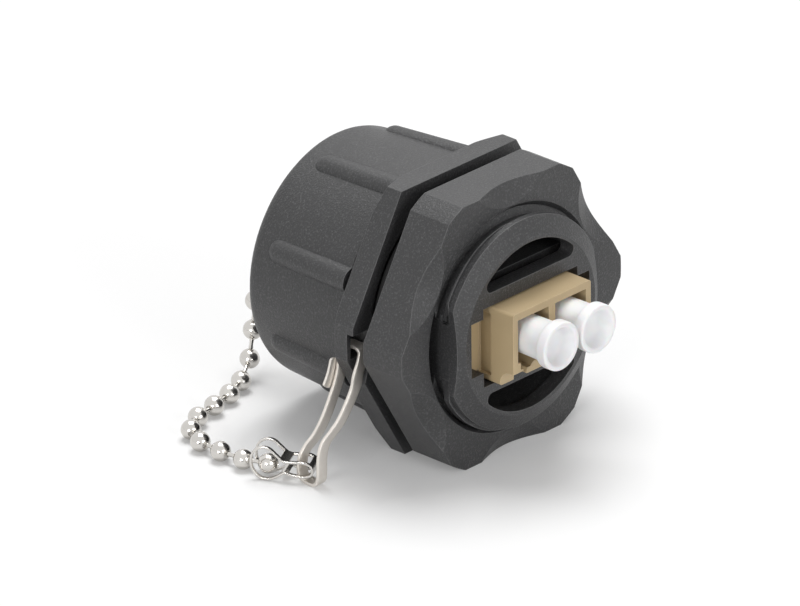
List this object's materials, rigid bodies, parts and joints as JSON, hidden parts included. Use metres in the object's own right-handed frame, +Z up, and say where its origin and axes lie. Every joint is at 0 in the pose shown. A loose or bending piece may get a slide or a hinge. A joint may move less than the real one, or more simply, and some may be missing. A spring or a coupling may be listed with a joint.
{
  "type": "fibre optic coupler",
  "caption": "Weatherproof panel coupler for a duplex fibre connector, with a hexagon flange and nut, two dust plugs and a ribbed screw cap on a ball chain.",
  "frame": {"origin": "centre of the flange front face, on the axis of both barrels", "axes": "+Y along the barrel axis towards the screw cap, +X to the right seen from the plugs, +Z up"},
  "size_m": [0.0454, 0.0486, 0.0332],
  "materials": {
    "dark_plastic": "moulded, fine grain",
    "black_rubber": "satin",
    "beige_plastic": "moulded, satin",
    "white_plastic": "slightly translucent",
    "zirconia": "ground",
    "strap_steel": "satin",
    "bright_nickel": "bright nickel plate"
  },
  "bodies": {
    "coupler": {"coupler_body": "dark_plastic", "adapter_front_half": "beige_plastic", "adapter_rear_half": "beige_plastic", "adapter_retainer": "dark_plastic", "sleeve_left": "zirconia", "sleeve_right": "zirconia"},
    "gasket": {"panel_gasket": "black_rubber"},
    "nut": {"panel_nut": "dark_plastic"},
    "swivel": {"cap_swivel": "bright_nickel", "cap_clip": "bright_nickel", "chain_ball_13": "bright_nickel", "chain_pin_12": "bright_nickel"},
    "cap": {"screw_cap": "dark_plastic", "cap_seal": "black_rubber", "swivel_rivet": "bright_nickel"},
    "plug_left": {"dust_plug_left": "white_plastic"},
    "plug_right": {"dust_plug_right": "white_plastic"},
    "bail": {"bail_strap": "strap_steel", "bail_clip": "bright_nickel", "chain_ball_01": "bright_nickel"},
    "link_02": {"chain_ball_02": "bright_nickel", "chain_pin_01": "bright_nickel"},
    "link_03": {"chain_ball_03": "bright_nickel", "chain_pin_02": "bright_nickel"},
    "link_04": {"chain_ball_04": "bright_nickel", "chain_pin_03": "bright_nickel"},
    "link_05": {"chain_ball_05": "bright_nickel", "chain_pin_04": "bright_nickel"},
    "link_06": {"chain_ball_06": "bright_nickel", "chain_pin_05": "bright_nickel"},
    "link_07": {"chain_ball_07": "bright_nickel", "chain_pin_06": "bright_nickel"},
    "link_08": {"chain_ball_08": "bright_nickel", "chain_pin_07": "bright_nickel"},
    "link_09": {"chain_ball_09": "bright_nickel", "chain_pin_08": "bright_nickel"},
    "link_10": {"chain_ball_10": "bright_nickel", "chain_pin_09": "bright_nickel"},
    "link_11": {"chain_ball_11": "bright_nickel", "chain_pin_10": "bright_nickel"},
    "link_12": {"chain_ball_12": "bright_nickel", "chain_pin_11": "bright_nickel"}
  },
  "joints": [
    {"name": "nut_travel", "type": "slide", "parent": "coupler", "child": "gasket", "axis": [0, -1, 0], "range_m": [0, 0.009]},
    {"name": "nut_spin", "type": "hinge", "parent": "gasket", "child": "nut", "pos_m": [0, 0, 0], "axis": [0, -1, 0], "range_deg": [0, 1080]},
    {"name": "cap_travel", "type": "slide", "parent": "coupler", "child": "swivel", "axis": [0, 1, 0], "range_m": [0, 0.012]},
    {"name": "cap_spin", "type": "hinge", "parent": "swivel", "child": "cap", "pos_m": [0, 0.01, 0], "axis": [0, 1, 0], "range_deg": [0, 1080]},
    {"name": "plug_left_slide", "type": "slide", "parent": "coupler", "child": "plug_left", "axis": [0, -1, 0], "range_m": [0, 0.008]},
    {"name": "plug_right_slide", "type": "slide", "parent": "coupler", "child": "plug_right", "axis": [0, -1, 0], "range_m": [0, 0.008]},
    {"name": "bail_swing", "type": "hinge", "parent": "coupler", "child": "bail", "pos_m": [-0.016, 0.0015, -0.0009], "axis": [0, 1, 0], "range_deg": [0, 45]},
    {"name": "chain_slide_02", "type": "slide", "parent": "coupler", "child": "link_02", "axis": [0, 1, 0], "range_m": [0, 0.00109]},
    {"name": "chain_slide_03", "type": "slide", "parent": "coupler", "child": "link_03", "axis": [0, 1, 0], "range_m": [0, 0.00218]},
    {"name": "chain_slide_04", "type": "slide", "parent": "coupler", "child": "link_04", "axis": [0, 1, 0], "range_m": [0, 0.00327]},
    {"name": "chain_slide_05", "type": "slide", "parent": "coupler", "child": "link_05", "axis": [0, 1, 0], "range_m": [0, 0.00436]},
    {"name": "chain_slide_06", "type": "slide", "parent": "coupler", "child": "link_06", "axis": [0, 1, 0], "range_m": [0, 0.00546]},
    {"name": "chain_slide_07", "type": "slide", "parent": "coupler", "child": "link_07", "axis": [0, 1, 0], "range_m": [0, 0.00655]},
    {"name": "chain_slide_08", "type": "slide", "parent": "coupler", "child": "link_08", "axis": [0, 1, 0], "range_m": [0, 0.00764]},
    {"name": "chain_slide_09", "type": "slide", "parent": "coupler", "child": "link_09", "axis": [0, 1, 0], "range_m": [0, 0.00873]},
    {"name": "chain_slide_10", "type": "slide", "parent": "coupler", "child": "link_10", "axis": [0, 1, 0], "range_m": [0, 0.00982]},
    {"name": "chain_slide_11", "type": "slide", "parent": "coupler", "child": "link_11", "axis": [0, 1, 0], "range_m": [0, 0.01091]},
    {"name": "chain_slide_12", "type": "slide", "parent": "coupler", "child": "link_12", "axis": [0, 1, 0], "range_m": [0, 0.012]}
  ],
  "couplings": [
    {"joint": "nut_travel", "follows": "nut_spin", "m_per_rad": 0.00047746},
    {"joint": "cap_travel", "follows": "cap_spin", "m_per_rad": 0.00063662},
    {"joint": "chain_slide_02", "follows": "cap_spin", "m_per_rad": 0.000057875},
    {"joint": "chain_slide_03", "follows": "cap_spin", "m_per_rad": 0.00011575},
    {"joint": "chain_slide_04", "follows": "cap_spin", "m_per_rad": 0.00017362},
    {"joint": "chain_slide_05", "follows": "cap_spin", "m_per_rad": 0.0002315},
    {"joint": "chain_slide_06", "follows": "cap_spin", "m_per_rad": 0.00028937},
    {"joint": "chain_slide_07", "follows": "cap_spin", "m_per_rad": 0.00034725},
    {"joint": "chain_slide_08", "follows": "cap_spin", "m_per_rad": 0.00040512},
    {"joint": "chain_slide_09", "follows": "cap_spin", "m_per_rad": 0.000463},
    {"joint": "chain_slide_10", "follows": "cap_spin", "m_per_rad": 0.00052087},
    {"joint": "chain_slide_11", "follows": "cap_spin", "m_per_rad": 0.00057875},
    {"joint": "chain_slide_12", "follows": "cap_spin", "m_per_rad": 0.00063662}
  ]
}
